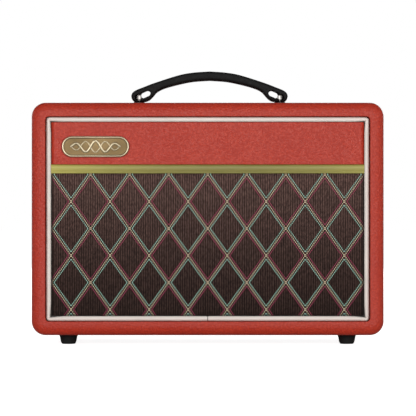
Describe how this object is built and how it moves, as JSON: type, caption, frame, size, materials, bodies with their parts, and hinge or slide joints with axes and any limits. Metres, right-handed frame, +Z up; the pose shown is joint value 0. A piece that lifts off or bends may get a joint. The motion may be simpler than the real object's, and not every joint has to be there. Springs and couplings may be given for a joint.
{
  "type": "guitar amplifier",
  "caption": "Small combo guitar amplifier: vinyl-covered box, diamond grille cloth, gold bead, piping, strap handle, top controls, open back.",
  "frame": {"origin": "middle of the footprint, on the surface that the feet stand on", "axes": "+Z up, -Y out of the grille cloth, +X to the right seen from the front"},
  "size_m": [0.38, 0.17, 0.2973],
  "materials": {
    "red_vinyl": "satin",
    "grille_cloth": "matte",
    "gold_trim": "gloss",
    "white_piping": "satin",
    "badge_gold": "satin",
    "bare_board": "matte",
    "black_vinyl": "satin",
    "black_rubber": "matte",
    "chrome": "polished",
    "plated_steel": "satin",
    "black_steel": "satin",
    "ferrite": "matte",
    "black_plastic": "satin",
    "cone_paper": "matte",
    "spider_cloth": "matte",
    "copper": "satin",
    "circuit_green": "satin",
    "aluminium": "satin",
    "lamp_red": "gloss"
  },
  "bodies": {
    "cabinet": {"back_panel": "black_vinyl", "badge": "badge_gold", "baffle_board": "bare_board", "bass_pot_body": "plated_steel", "cabinet_shell": "red_vinyl", "channel_switch": "black_plastic", "chassis": "black_steel", "circuit_board": "circuit_green", "cleat_front_left": "bare_board", "cleat_front_right": "bare_board", "cleat_rear_left": "bare_board", "cleat_rear_right": "bare_board", "cone_spider": "spider_cloth", "cone_surround": "black_rubber", "fascia_panel": "red_vinyl", "foot_front_left": "black_rubber", "foot_front_right": "black_rubber", "foot_rear_left": "black_rubber", "foot_rear_right": "black_rubber", "gain_pot_body": "plated_steel", "gold_trim_strip": "gold_trim", "grille_cloth": "grille_cloth", "handle_nut_left": "plated_steel", "handle_nut_right": "plated_steel", "handle_seat_left": "black_plastic", "handle_seat_right": "black_plastic", "handle_stud_left": "chrome", "handle_stud_right": "chrome", "heatsink": "aluminium", "input_jack": "black_plastic", "mains_inlet": "black_plastic", "phones_jack": "black_plastic", "power_lamp": "lamp_red", "power_switch": "black_plastic", "smoothing_capacitor": "black_plastic", "speaker_basket": "black_steel", "speaker_cable": "black_plastic", "speaker_magnet": "ferrite", "speaker_terminal": "black_plastic", "speaker_top_plate": "plated_steel", "speaker_yoke": "plated_steel", "transformer_core": "plated_steel", "transformer_winding": "copper", "treble_pot_body": "plated_steel", "volume_pot_body": "plated_steel", "white_piping": "white_piping"},
    "handle": {"handle_strap": "black_rubber"},
    "speaker_cone": {"speaker_cone": "cone_paper", "dust_cap": "cone_paper", "voice_coil": "copper"},
    "channel_button": {"channel_button": "black_plastic"},
    "power_rocker": {"power_rocker": "black_plastic"},
    "gain_knob": {"gain_shaft": "aluminium", "gain_knob": "black_plastic"},
    "treble_knob": {"treble_shaft": "aluminium", "treble_knob": "black_plastic"},
    "bass_knob": {"bass_shaft": "aluminium", "bass_knob": "black_plastic"},
    "volume_knob": {"volume_shaft": "aluminium", "volume_knob": "black_plastic"}
  },
  "joints": [
    {"name": "handle_lift", "type": "slide", "parent": "cabinet", "child": "handle", "axis": [0, 0, 1], "range_m": [0, 0.0015]},
    {"name": "gain_turn", "type": "hinge", "parent": "cabinet", "child": "gain_knob", "pos_m": [-0.096, 0.041, 0.2508], "axis": [0, 0, -1], "range_deg": [-150, 150]},
    {"name": "treble_turn", "type": "hinge", "parent": "cabinet", "child": "treble_knob", "pos_m": [-0.04, 0.041, 0.2508], "axis": [0, 0, -1], "range_deg": [-150, 150]},
    {"name": "bass_turn", "type": "hinge", "parent": "cabinet", "child": "bass_knob", "pos_m": [0.002, 0.041, 0.2508], "axis": [0, 0, -1], "range_deg": [-150, 150]},
    {"name": "volume_turn", "type": "hinge", "parent": "cabinet", "child": "volume_knob", "pos_m": [0.044, 0.041, 0.2508], "axis": [0, 0, -1], "range_deg": [-150, 150]},
    {"name": "channel_press", "type": "slide", "parent": "cabinet", "child": "channel_button", "axis": [0, 0, -1], "range_m": [0, 0.003], "stiffness_N_per_m": 500},
    {"name": "power_rock", "type": "hinge", "parent": "cabinet", "child": "power_rocker", "pos_m": [0.142, 0.041, 0.243], "axis": [1, 0, 0], "range_deg": [0, 18]},
    {"name": "cone_stroke", "type": "slide", "parent": "cabinet", "child": "speaker_cone", "axis": [0, 1, 0], "range_m": [-0.0015, 0.0015], "stiffness_N_per_m": 3000, "deforming": ["cone_surround", "cone_spider"]}
  ]
}
